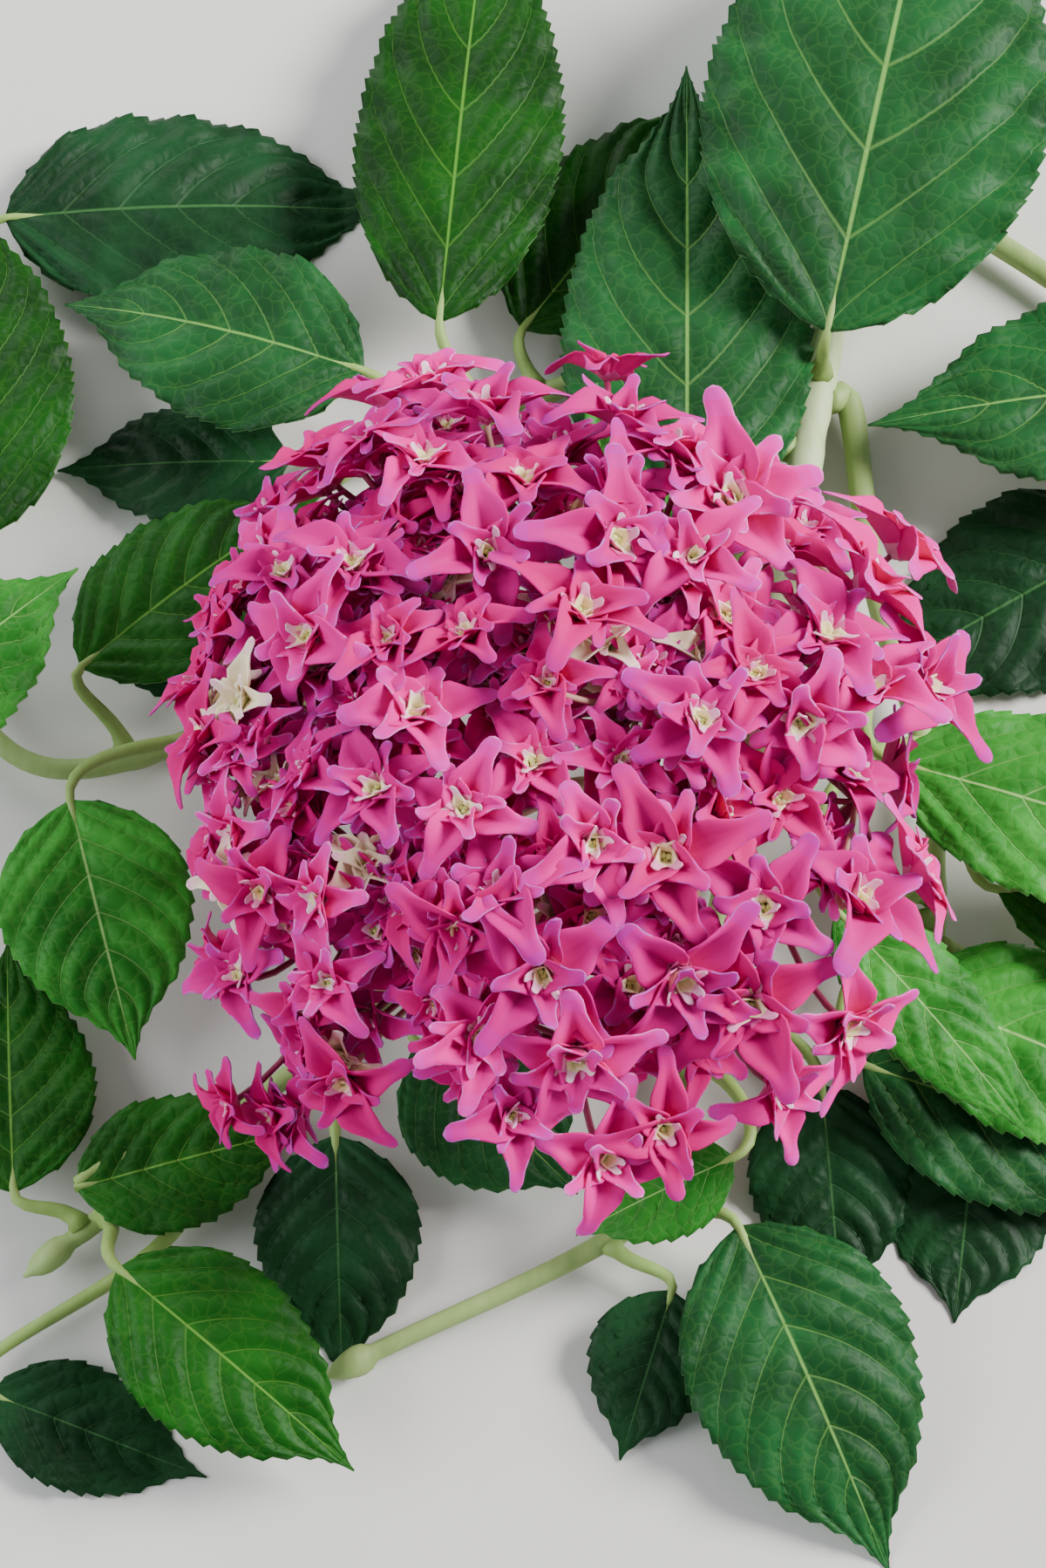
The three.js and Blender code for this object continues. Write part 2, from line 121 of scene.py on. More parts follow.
class Path:
    # evenly walked samples of a curve
    def __init__(self, pointAt, samples=200):
        self.spots = [pointAt(i / samples) for i in range(samples + 1)]
        self.run = [0.0]
        for a, b in zip(self.spots, self.spots[1:]):
            self.run.append(self.run[-1] + (b - a).length)
        self.length = self.run[-1]

    def at(self, share):
        target = share * self.length
        low, high = 0, len(self.run) - 1
        while high - low > 1:
            middle = (low + high) // 2
            if self.run[middle] > target:
                high = middle
            else:
                low = middle
        step = self.run[high] - self.run[low]
        share = (target - self.run[low]) / step if step else 0
        return self.spots[low].lerp(self.spots[high], share)

    def along(self, share):
        reach = 0.004
        return (self.at(min(share + reach, 1)) - self.at(max(share - reach, 0))).normalized()


def smoothStep(low, high, value):
    t = min(max((value - low) / (high - low), 0), 1)
    return t * t * (3 - 2 * t)


def mix(a, b, share):
    return a + (b - a) * share


def seededRandom(seed):
    # the solids' own random numbers, between 0 and 1
    factor, modulus = 16807, 2147483647
    state = [seed]

    def draw():
        state[0] = (state[0] * factor) % modulus
        return state[0] / modulus
    return draw


# meshes

def newPiece(name, bm, materials, node):
    # the layout is in millimetres from its own origin
    toPart = Matrix.Scale(mm, 4) @ Matrix.Translation(-layoutOrigin)
    bmesh.ops.transform(bm, matrix=toPart, verts=bm.verts)
    mesh = bpy.data.meshes.new(name)
    bm.to_mesh(mesh)
    bm.free()
    for material in materials:
        mesh.materials.append(material)
    mesh.shade_smooth()
    piece = bpy.data.objects.new(name, mesh)
    bpy.context.scene.collection.objects.link(piece)
    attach(piece, "root")
    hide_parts(node)
    return piece


def addSheet(bm, rows, columns, place, material=0):
    # a grid whose place(u, v) gives each corner: u runs from 0 to 1 along it, v from -1 to 1 across
    if not bm.loops.layers.uv:
        bm.loops.layers.uv.new("UVMap")
    made = bmesh.ops.create_grid(bm, x_segments=rows, y_segments=columns, size=1,
                                 calc_uvs=True)["verts"]
    for vert in made:
        vert.co = place((vert.co.x + 1) / 2, vert.co.y)
    for face in {face for vert in made for face in vert.link_faces}:
        face.material_index = material
    return made


def addTube(bm, path, radiusAt, rows, sides, material=0, side=Vector((0.31, 0.17, 0.93))):
    # a grid rolled up round a path, with its seam and its ends closed; side is any way off the path
    frames = []
    across = side
    for i in range(rows + 1):
        along = path.along(i / rows)
        across = (across - along * across.dot(along)).normalized()
        frames.append((path.at(i / rows), across, along.cross(across)))

    def place(u, v):
        row = round(u * rows)
        centre, a, b = frames[row]
        turn = v * math.pi
        radius = radiusAt(u, turn)
        return centre + radius * (math.cos(turn) * a + math.sin(turn) * b)

    made = addSheet(bm, rows, sides, place, material)
    bmesh.ops.remove_doubles(bm, verts=made, dist=1e-5)
    made = [vert for vert in made if vert.is_valid]
    rims = [edge for edge in {e for vert in made for e in vert.link_edges} if edge.is_boundary]
    for face in bmesh.ops.holes_fill(bm, edges=rims, sides=0)["faces"]:
        face.material_index = material
    tubeFaces = list({face for vert in made for face in vert.link_faces})
    bmesh.ops.recalc_face_normals(bm, faces=tubeFaces)
    return made


# stem and side shoots

stem = {
    "points": [(102, 268, 5), (92, 195, 5.5), (77, 118, 12), (67, 60, 33), (58, 8, 54)],
    "cutRadius": 4.9,
    "tipRadius": 3.9,
}
shoots = {
    "upper_left_shoot": (0.36, [(40, 141, 8), (-8, 118, 8), (-48, 101, 9)]),
    "upper_right_shoot": (0.31, [(128, 170, 7), (168, 132, 8), (178, 84, 8)]),
    "left_shoot": (0.50, [(28, 74, 8), (-60, 36, 7), (-122, 18, 8), (-150, 56, 8), (-153, 132, 7)]),
    "right_shoot": (0.545, [(92, 66, 9), (104, 14, 9), (103, -40, 8)]),
    "lower_left_shoot": (0.57, [(36, 30, 8), (-34, -42, 7), (-114, -108, 8)]),
    "lower_shoot": (0.64, [(58, 18, 9), (40, -60, 8), (30, -98, 9), (-40, -134, 6)]),
}
shootShape = {"baseRadius": 3.6, "tipRadius": 2.2, "leavesBy": 6}
budShape = {"length": 9.6, "radius": 2.6, "blend": 4, "ridge": 0.12, "leastRadius": 0.2}
barkShape = {"ribs": 5, "ribHeight": 0.02, "nodeHeight": 0.45, "nodeLength": 3.2, "sides": 20}
clearance = 0.3  # from the bark to what grows on it
ringSpacing = 22


class Limb:
    # its bark is measured from straight runs between rings, as the solid has them
    def __init__(self, points, baseRadius, tipRadius):
        spots = [Vector(p) for p in points]
        self.path = Path(lambda share: curvePoint(spots, share))
        steps = max(2, round(self.path.length / ringSpacing))
        rings = [self.path.at(i / steps) for i in range(steps + 1)]
        self.rings = Path(lambda share: rings[round(share * steps)], steps)
        self.baseRadius = baseRadius
        self.tipRadius = tipRadius
        self.nodes = []

    def onBark(self, share, target):
        centre = self.rings.at(share)
        reach = 0.002
        ahead, behind = self.rings.at(min(share + reach, 1)), self.rings.at(max(share - reach, 0))
        along = (ahead - behind).normalized()
        out = target - centre
        out = (out - along * out.dot(along)).normalized()
        self.nodes.append(share)
        return centre + out * (mix(self.baseRadius, self.tipRadius, share) + clearance), out


stemLimb = Limb(stem["points"], stem["cutRadius"], stem["tipRadius"])
limbs = {"stem": stemLimb}
for name, (start, points) in shoots.items():
    foot, out = stemLimb.onBark(start, Vector(points[0]))
    limbs[name] = Limb([foot, foot + out * shootShape["leavesBy"], *points],
                       shootShape["baseRadius"], shootShape["tipRadius"])


# leaves

leaves = {
    "leaf_top_right": ("stem", 0.53, (79, 129, 34), 77, 172, 94, 20, 46),
    "leaf_centre_right": ("stem", 0.62, (42, 76, 25), 89, 142, 68, 5, 16),
    "leaf_top_centre": ("upper_left_shoot", 0.73, (-22, 138, 22), 85, 146, 58, 6, 24),
    "leaf_top_behind": ("upper_left_shoot", 0.62, (0, 142, 10), 54, 94, 50, 2, 12),
    "leaf_upper_left": ("upper_left_shoot", 0.86, (-42, 122, 25), 164, 84, 54, 12, 34),
    "leaf_under_upper_left": ("upper_left_shoot", 0.94, (-62, 104, 8), 180, 62, 38, 2, 16),
    "leaf_far_upper_left": ("left_shoot", 0.98, (-140, 176, 9), 5, 108, 62, 4, 24),
    "leaf_far_left": ("left_shoot", 0.8, (-141, 76, 20), 94, 108, 54, 6, 22),
    "leaf_left": ("left_shoot", 0.6, (-112, 40, 22), 40, 78, 44, 10, 28),
    "leaf_left_low": ("left_shoot", 0.54, (-112, 0, 32), 285, 66, 50, -6, 26),
    "leaf_left_small": ("left_shoot", 0.4, (-70, 52, 10), 190, 40, 28, 0, 10),
    "leaf_left_edge": ("left_shoot", 0.74, (-166, 8, 44), 42, 74, 44, 10, 20),
    "leaf_right_edge": ("upper_right_shoot", 0.8, (200, 122, 22), 188, 112, 62, 12, 22),
    "leaf_right_behind": ("upper_right_shoot", 0.98, (162, 84, 8), 209, 84, 56, 0, 14),
    "leaf_right_upper": ("right_shoot", 0.5, (92, 8, 38), 342, 112, 50, 8, 28),
    "leaf_right_middle": ("right_shoot", 0.72, (118, -20, 23), 357, 92, 46, 6, 26),
    "leaf_right_lower": ("right_shoot", 0.86, (94, -44, 16), 337, 90, 50, 6, 22),
    "leaf_right_point": ("right_shoot", 0.62, (76, -32, 42), 312, 72, 30, 0, 28),
    "leaf_right_broad": ("right_shoot", 0.9, (84, -62, 12), 342, 92, 50, 0, 10),
    "leaf_lower_right_dark": ("right_shoot", 0.94, (112, -76, 2), 262, 48, 44, 0, 6),
    "leaf_lower_right_back": ("lower_shoot", 0.52, (74, -66, 7), 274, 56, 42, -2, 14),
    "leaf_bottom_right": ("lower_shoot", 0.7, (52, -104, 18), 294, 90, 58, 4, 34),
    "leaf_bottom_middle": ("lower_shoot", 0.76, (36, -118, 10), 252, 42, 32, -4, 20),
    "leaf_bottom_young": ("lower_shoot", 0.58, (50, -90, 30), 204, 42, 26, 4, 34),
    "leaf_under_bloom": ("lower_left_shoot", 0.62, (-26, -58, 18), 318, 54, 44, 2, 26),
    "leaf_bottom_back": ("lower_left_shoot", 0.74, (-46, -80, 12), 272, 60, 42, -4, 26),
    "leaf_lower_left": ("lower_left_shoot", 0.95, (-96, -116, 26), 321, 74, 44, 6, 34),
    "leaf_lower_left_upper": ("lower_left_shoot", 0.88, (-108, -94, 17), 16, 58, 36, 0, 8),
    "leaf_left_upright": ("lower_left_shoot", 0.97, (-124, -94, 13), 95, 66, 44, 2, 16),
    "leaf_corner": ("lower_left_shoot", 0.88, (-128, -142, 6), 340, 56, 32, -2, 16),
    "leaf_young_top": ("stem", 0.86, (32, 70, 48), 33, 38, 18, 4, 8),
    "leaf_young_tip": ("stem", 0.9, (20, 74, 44), 92, 34, 15, 8, 10),
}
leafColumns = ("on", "at", "base", "heading", "long", "wide", "rise", "droop")
leafFolds = {"leaf_young_top": 34, "leaf_young_tip": 38}
# Each leaf's tone is partly its own green, young leaves being paler, and partly painted light and shade.
# The bright tone holds painted light on lit and glossy leaves, and the dark tone painted shade on leaves
# lying behind and under others. Every leaf's tone, rich and fresh included, is set by how lit or shaded
# that leaf looks.
leafTones = {
    "bright": ("leaf_left_low", "leaf_right_upper", "leaf_right_point", "leaf_young_top",
               "leaf_young_tip", "leaf_left_edge", "leaf_bottom_young", "leaf_right_lower"),
    "fresh": ("leaf_left", "leaf_lower_left", "leaf_lower_left_upper", "leaf_left_upright",
              "leaf_right_middle"),
    "rich": ("leaf_top_centre", "leaf_top_behind", "leaf_far_left"),
    "dark": ("leaf_far_upper_left", "leaf_under_upper_left", "leaf_right_behind",
             "leaf_lower_right_dark", "leaf_lower_right_back", "leaf_bottom_middle",
             "leaf_bottom_back", "leaf_left_small", "leaf_corner"),
}
leafShape = {
    "baseFull": 0.62, "tipFull": 1.05,  # powers of the outline's curve
    "solidThickness": 1.2, "solidShare": 0.011,  # its solid's, of which the blade is the top
    "sheet": 0.5,
    "fold": 10, "curl": 0.22, "wave": 0.05, "waves": 3, "ruffle": 0.05, "teethPerRuffle": 4,
    "columnEvery": 1.9, "toothEvery": 4.4, "rowsPerTooth": 3,
    "toothDepth": 0.65, "toothGrowth": 0.004, "toothForward": 1.6, "deepestNotch": 0.4,
    "tipDrawn": 0.45, "footWidth": 1.3, "leastWidth": 0.25,
    "veins": 7, "veinSlope": 0.2, "veinBend": 0.17,
    "quilt": 2.1, "quiltFullAt": 14, "midribGroove": 0.7,
}
leafStalkShape = {
    "base": 2.16, "tip": 1.44, "flare": 1.5, "inBark": 1.3, "inBarkShare": 0.02,
    "ribRadius": 1.25, "ribLeast": 0.25, "ribEnd": 0.86,
    "leaves": 0.4, "arrives": 0.35,  # its handles, as shares of its reach
    "rowEvery": 3, "leastRows": 24, "sides": 8,
}


def halfWidthAt(leaf, share):
    base, tip = leafShape["baseFull"], leafShape["tipFull"]
    widest = base / (base + tip)
    most = widest ** base * (1 - widest) ** tip
    return leaf["wide"] / 2 * share ** base * (1 - share) ** tip / most


def midribOf(leaf, rows):
    finer = 4
    steps = rows * finer
    heading = math.radians(leaf["heading"])
    side = Vector((-math.sin(heading), math.cos(heading), 0))
    point = Vector(leaf["base"])
    frames = []
    for i in range(steps + 1):
        pitch = math.radians(leaf["rise"] - leaf["droop"] * i / steps)
        level = math.cos(pitch)
        along = Vector((level * math.cos(heading), level * math.sin(heading), math.sin(pitch)))
        if i % finer == 0:
            frames.append((point.copy(), along, side, along.cross(side)))
        point += along * (leaf["long"] / steps)
    return frames


def bladeOf(name, leaf, midrib, teeth, thickness):
    # gives the place of each corner of the blade's grid
    shape = leafShape
    perTooth = shape["rowsPerTooth"]
    fold = math.radians(leafFolds.get(name, shape["fold"]))
    toothDepth = shape["toothDepth"] + shape["toothGrowth"] * leaf["long"]
    shift = sum(leaf["base"]) % 7  # sets each leaf's ruffle apart

    def halfAt(u, across, saw):
        half = halfWidthAt(leaf, u) * (1 - shape["tipDrawn"] * smoothStep(0.7, 0.95, u))
        notch = toothDepth * (1 - saw) * smoothStep(0.8, 1, across) * smoothStep(0.04, 0.14, u)
        notch = min(notch, shape["deepestNotch"] * half)
        return max(half - notch, shape["footWidth"] * (1 - u) ** 4, shape["leastWidth"])

    def curveAt(u, v, across):
        # folded up from the midrib, curled down at the sides, and wavy
        side = 1 if v > 0 else -1 if v < 0 else 0
        bend = math.sqrt(across * across + 0.004) - 0.063
        wave = shape["wave"] * across * across * math.sin(math.pi * shape["waves"] * u + side)
        turn = u * teeth / shape["teethPerRuffle"] + shift + 0.3 * (v > 0)
        ruffle = shape["ruffle"] * across ** 3 * math.sin(2 * math.pi * turn)
        return bend * math.sin(fold) - shape["curl"] * across * across + wave + ruffle

    def quiltAt(u, across, half):
        # puffed up between the side veins, with a groove for the midrib
        bent = shape["veinSlope"] * across + shape["veinBend"] * across * across
        puff = math.sin(math.pi * (shape["veins"] * (u - bent) % 1)) ** 0.7
        fade = (smoothStep(0, 0.15, across) * (1 - 0.6 * smoothStep(0.75, 1, across))
                * smoothStep(0, 0.08, u) * min(1, half / shape["quiltFullAt"]))
        groove = shape["midribGroove"] * (1 - smoothStep(0, 0.09, across)) * (1 - u)
        return shape["quilt"] * (puff - 0.7) * fade - groove

    def place(u, v):
        row = round(u * teeth * perTooth)
        point, along, side, up = midrib[row]
        across = abs(v)
        saw = (row + 2 * (v > 0)) % perTooth / (perTooth - 1)
        half = halfAt(u, across, saw)
        lift = half * curveAt(u, v, across) + quiltAt(u, across, half)
        forward = shape["toothForward"] * saw * smoothStep(0.85, 1, across) * (1 - u)
        spot = point + side * (v * half * math.cos(fold)) + up * (lift + thickness - 0.2)
        spot += along * forward
        spot.z = max(spot.z, shape["sheet"] + floorGap)
        return spot

    return place


def addLeafStalk(bm, leaf, midrib, rows, thickness):
    # the stalk, which runs on under the blade as its midrib
    shape = leafStalkShape
    foot, along, side, up = midrib[0]
    end = foot + up * (0.5 * thickness)
    start, out = limbs[leaf["on"]].onBark(leaf["at"], end)
    reach = (end - start).length
    corners = [start, start + out * (shape["leaves"] * reach),
               end - along * (shape["arrives"] * reach), end]
    stalk = Path(lambda t: bezierPoint(corners, t), 40)
    inner = start - out * shape["inBark"]
    joint = reach / (reach + shape["ribEnd"] * leaf["long"])
    ribRows = round(shape["ribEnd"] * rows)

    def ribRadius(t):
        return max(shape["ribLeast"], shape["ribRadius"] * (1 - t) ** 0.8)

    ribSpots = []
    for i, (point, _, _, upHere) in enumerate(midrib[:ribRows + 1]):
        under = 0.6 * i / rows - 0.1 - 0.55 * ribRadius(i / ribRows)
        height = mix(0.5 * thickness, under, smoothStep(0, 0.1, i / rows))
        ribSpots.append(point + upHere * height)

    def spotAt(t):
        if t < shape["inBarkShare"]:
            return inner.lerp(stalk.at(0.0), t / shape["inBarkShare"])
        if t < joint:
            return stalk.at((t - shape["inBarkShare"]) / (joint - shape["inBarkShare"]))
        place = (t - joint) / (1 - joint) * ribRows
        i = min(int(place), ribRows - 1)
        return ribSpots[i].lerp(ribSpots[i + 1], place - i)

    def radiusAt(u, turn):
        if u < joint:
            flare = shape["flare"] * (1 - smoothStep(0, 0.05, u))
            return mix(shape["base"], shape["tip"], u / joint) + flare
        return ribRadius((u - joint) / (1 - joint))

    path = Path(spotAt, 160)
    tubeRows = max(shape["leastRows"], round(path.length / shape["rowEvery"]))
    for vert in addTube(bm, path, radiusAt, tubeRows, shape["sides"], 2, side):
        vert.co.z = max(vert.co.z, floorGap)


def buildLeaf(name, leaf, materials):
    shape = leafShape
    thickness = max(shape["solidThickness"], shape["solidShare"] * leaf["long"])
    teeth = round(leaf["long"] / shape["toothEvery"])
    rows = teeth * shape["rowsPerTooth"]
    columns = 2 * round(leaf["wide"] / shape["columnEvery"] / 2)
    midrib = midribOf(leaf, rows)
    bm = bmesh.new()
    addSheet(bm, rows, columns, bladeOf(name, leaf, midrib, teeth, thickness))
    upper = bm.faces[:]
    bmesh.ops.solidify(bm, geom=upper, thickness=shape["sheet"])
    upper = set(upper)
    for face in bm.faces:
        if face not in upper:
            face.material_index = 1
    addLeafStalk(bm, leaf, midrib, rows, thickness)
    newPiece(name + "_blade", bm, materials, name)


barkPattern = {
    "streakWide": 2.38 * mm, "streakLong": 16.7 * mm, "reliefDepth": 0.3 * mm, "reliefStrength": 0.4,
}


def barkMaterial(name, pale, green):
    # green skin of a young stem: satin, with faint streaks along it
    pattern = barkPattern
    material, tree, surface = newMaterial(name, {"Roughness": 0.55, "IOR": 1.45})
    place = addNode(tree, "TexCoord").outputs["Object"]
    perMetre = (1 / pattern["streakWide"], 1 / pattern["streakLong"], 1 / pattern["streakWide"])
    stretched = addNode(tree, "Mapping", {"Scale": perMetre}, {"Vector": place})
    streaks = addNode(tree, "TexNoise", {"Scale": 1.0, "Detail": 3.0}, {"Vector": stretched})
    colour = addNode(tree, "Mix", {"data_type": "RGBA", colourA: linear(pale), colourB: linear(green)},
                     {"Factor": streaks})
    tree.links.new(colour.outputs[mixedColour], surface.inputs["Base Color"])
    relief = {"Strength": pattern["reliefStrength"], "Distance": pattern["reliefDepth"]}
    bump = addNode(tree, "Bump", relief, {"Height": streaks})
    tree.links.new(bump.outputs["Normal"], surface.inputs["Normal"])
    return material


leafSkinPattern = {
    "midribOuter": 0.021, "midribInner": 0.006, "midribPale": 0.66,  # shares of the half width
    "sideVeinFoot": 0.455, "sideVeinTaper": 0.02, "sideVeinSoft": 0.035, "sideVeinPale": 0.28,
    "mesh": 4.17 * mm, "netEdge": 0.08, "netPale": 0.06, "blisterEnd": 0.4, "blister": 0.6,
    "wander": 2.6 * mm, "wanderEvery": 3.85 * mm,  # of the netting
    "patch": 22.2 * mm, "patchFrom": 0.32, "patchTo": 0.72,  # lighter patches
    "reliefDepth": 0.5 * mm, "reliefStrength": 0.45,
}


def leafVeins(tree):
    # side veins, at the grooves of the blade's quilting, and the midrib
    pattern = leafSkinPattern
    uv = addNode(tree, "UVMap", {"uv_map": "UVMap"})
    split = addNode(tree, "SeparateXYZ", links={"Vector": uv})
    sided = addNode(tree, "Math", {"operation": "MULTIPLY_ADD", 1: 2, 2: -1}, {0: split.outputs["Y"]})
    across = addNode(tree, "Math", {"operation": "ABSOLUTE"}, {0: sided})
    squared = addNode(tree, "Math", {"operation": "MULTIPLY"}, {0: across, 1: across})
    slope = addNode(tree, "Math", {"operation": "MULTIPLY", 1: leafShape["veinSlope"]}, {0: across})
    bent = addNode(tree, "Math", {"operation": "MULTIPLY_ADD", 1: leafShape["veinBend"]},
                   {0: squared, 2: slope})
    along = addNode(tree, "Math", {"operation": "SUBTRACT"}, {0: split.outputs["X"], 1: bent})
    counted = addNode(tree, "Math", {"operation": "MULTIPLY", 1: leafShape["veins"]}, {0: along})
    phase = addNode(tree, "Math", {"operation": "FRACT"}, {0: counted})
    offPuff = addNode(tree, "Math", {"operation": "SUBTRACT", 1: 0.5}, {0: phase})
    fromPuff = addNode(tree, "Math", {"operation": "ABSOLUTE"}, {0: offPuff})
    taper = {"operation": "MULTIPLY_ADD", 1: pattern["sideVeinTaper"], 2: pattern["sideVeinFoot"]}
    rim = addNode(tree, "Math", taper, {0: across})
    inside = addNode(tree, "Math", {"operation": "SUBTRACT"}, {0: fromPuff, 1: rim})
    soft = {"interpolation_type": "SMOOTHSTEP", "From Min": 0.0, "From Max": pattern["sideVeinSoft"]}
    sideVein = addNode(tree, "MapRange", soft, {"Value": inside})
    soft = {"interpolation_type": "SMOOTHSTEP", "From Min": pattern["midribOuter"],
            "From Max": pattern["midribInner"]}
    midrib = addNode(tree, "MapRange", soft, {"Value": across})
    return sideVein, midrib


def leafNet(tree, place):
    # a fine wandering net, and the blisters inside its meshes
    pattern = leafSkinPattern
    drift = addNode(tree, "TexNoise", {"Scale": 1 / pattern["wanderEvery"], "Detail": 1.0},
                    {"Vector": place})
    wander = addNode(tree, "VectorMath", {"operation": "MULTIPLY_ADD", 1: [pattern["wander"]] * 3},
                     {0: drift.outputs["Color"], 2: place})
    cells = addNode(tree, "TexVoronoi", {"feature": "DISTANCE_TO_EDGE", "Scale": 1 / pattern["mesh"]},
                    {"Vector": wander}).outputs["Distance"]
    soft = {"interpolation_type": "SMOOTHSTEP", "From Min": pattern["netEdge"], "From Max": 0.0}
    net = addNode(tree, "MapRange", soft, {"Value": cells})
    soft = {"interpolation_type": "SMOOTHSTEP", "From Min": 0.0, "From Max": pattern["blisterEnd"]}
    blisters = addNode(tree, "MapRange", soft, {"Value": cells})
    return net, blisters


def leafSkin(name, deep, light, vein, roughness=0.5, veinsProud=False):
    # skin of a hydrangea leaf: dull with fine hairs, with paler veins and fine netting between them
    pattern = leafSkinPattern
    settings = {"Roughness": roughness, "IOR": 1.4, "Specular IOR Level": 0.22}
    material, tree, surface = newMaterial(name, settings)
    place = addNode(tree, "TexCoord").outputs["Object"]
    sideVein, midrib = leafVeins(tree)
    net, blisters = leafNet(tree, place)

    patches = addNode(tree, "TexNoise", {"Scale": 1 / pattern["patch"], "Detail": 4.0}, {"Vector": place})
    soft = {"interpolation_type": "SMOOTHSTEP", "From Min": pattern["patchFrom"],
            "From Max": pattern["patchTo"]}
    lightness = addNode(tree, "MapRange", soft, {"Value": patches})
    body = addNode(tree, "Mix", {"data_type": "RGBA", colourA: linear(deep), colourB: linear(light)},
                   {"Factor": lightness})
    onSide = addNode(tree, "Math", {"operation": "MULTIPLY", 1: pattern["sideVeinPale"]}, {0: sideVein})
    onMidrib = addNode(tree, "Math", {"operation": "MULTIPLY", 1: pattern["midribPale"]}, {0: midrib})
    onNet = addNode(tree, "Math", {"operation": "MULTIPLY", 1: pattern["netPale"]}, {0: net})
    onVeins = addNode(tree, "Math", {"operation": "MAXIMUM"}, {0: onSide, 1: onMidrib})
    paleness = addNode(tree, "Math", {"operation": "MAXIMUM"}, {0: onVeins, 1: onNet})
    veined = addNode(tree, "Mix", {"data_type": "RGBA", colourB: linear(vein)},
                     {"Factor": paleness, colourA: body.outputs[mixedColour]})
    tree.links.new(veined.outputs[mixedColour], surface.inputs["Base Color"])

    puffed = addNode(tree, "Math", {"operation": "MULTIPLY", 1: pattern["blister"]}, {0: blisters})
    height = addNode(tree, "Math", {"operation": "SUBTRACT"}, {0: puffed, 1: sideVein})
    relief = {"Strength": pattern["reliefStrength"], "Distance": pattern["reliefDepth"],
              "invert": veinsProud}
    bump = addNode(tree, "Bump", relief, {"Height": height})
    tree.links.new(bump.outputs["Normal"], surface.inputs["Normal"])
    return material


leafStalk = barkMaterial("leaf stalk", "#9bb968", "#809f4a")


def leafMaterials(tone, deep, light, vein, underDeep, underLight):
    # the underside is paler and duller, and its veins stand proud
    return [leafSkin("leaf " + tone, deep, light, vein),
            leafSkin("leaf underside " + tone, underDeep, underLight, "#b4cc90", 0.65, True),
            leafStalk]


# the bright and dark sets are also lit and shaded copies of the leaf skin: painted light and painted shade,
# besides the paler green of young leaves
leafSets = {
    "deep": leafMaterials("deep", "#103f1a", "#1b5829", "#7fb256", "#50794a", "#66935c"),
    "fresh": leafMaterials("fresh", "#0e460a", "#1c6214", "#78ae46", "#527b40", "#689654"),
    "rich": leafMaterials("rich", "#063204", "#0f4a09", "#659f38", "#446e34", "#588846"),
    "bright": leafMaterials("bright", "#206a1c", "#3f9a34", "#a8d47c", "#6d935c", "#86ae72"),
    "dark": leafMaterials("dark", "#0c2d14", "#154522", "#416f3c", "#3e6642", "#507c54"),
}
for name, row in leaves.items():
    leaf = dict(zip(leafColumns, row))
    tone = next((tone for tone, names in leafTones.items() if name in names), "deep")
    buildLeaf(name, leaf, leafSets[tone])
print("leaves", len(leaves))


# bark on the stem and shoots, after the leaves have said where their nodes are

stemBark = barkMaterial("stem bark", "#cfdcae", "#a9c084")
shootBark = barkMaterial("shoot bark", "#a3ba74", "#7d9c52")
pith = plainMaterial("stem pith", "#e9ead2", 0.8)  # dull and spongy


def limbRadius(limb, share, turn):
    # faintly ribbed, and swollen where leaves or shoots join it
    shape = barkShape
    radius = mix(limb.baseRadius, limb.tipRadius, share)
    swelling = sum(math.exp(-((share - node) * limb.path.length / shape["nodeLength"]) ** 2)
                   for node in limb.nodes)
    ribbed = radius * (1 + shape["ribHeight"] * math.cos(shape["ribs"] * turn))
    return ribbed + shape["nodeHeight"] * min(swelling, 1)


def buildLimb(name, limb):
    isStem = name == "stem"
    length = limb.path.length
    budLength = 0 if isStem else budShape["length"]
    total = length + budLength
    end, away = limb.path.at(1), limb.path.along(1)
    inParent = 0 if isStem else 1.4
    start = limb.path.at(0) - limb.path.along(0) * inParent

    def spotAt(t):
        run = t * total
        if run <= length:
            return limb.path.at(run / length) if t > 0 else start
        return end + away * (run - length)

    def radiusAt(u, turn):
        run = u * total
        budRun = run - length + budShape["blend"]
        if budRun <= 0 or isStem:
            return limbRadius(limb, min(run / length, 1), turn)
        # a bud of a few folded leaf scales
        bud = budRun / (budLength + budShape["blend"])
        ridge = 1 + budShape["ridge"] * math.cos(2 * turn + 5 * bud)
        swell = budShape["radius"] * math.sin(math.pi * min(bud * 1.1, 1)) ** 0.8
        return max(budShape["leastRadius"], (limb.tipRadius * (1 - bud) + swell) * ridge)

    bm = bmesh.new()
    addTube(bm, Path(spotAt, 240), radiusAt, round(total / 2), barkShape["sides"])
    for vert in bm.verts:
        vert.co.z = max(vert.co.z, floorGap)
    if isStem:
        piece = newPiece("main_stem_bark", bm, [stemBark, pith], "main_stem")
        for face in piece.data.polygons:
            if len(face.vertices) > 4:
                face.material_index = 1
                face.use_smooth = False
    else:
        newPiece(name + "_bark", bm, [shootBark], name)


for name, limb in limbs.items():
    buildLimb(name, limb)
print("stem and shoots", len(limbs))


# the bloom, by the same rule as its solid

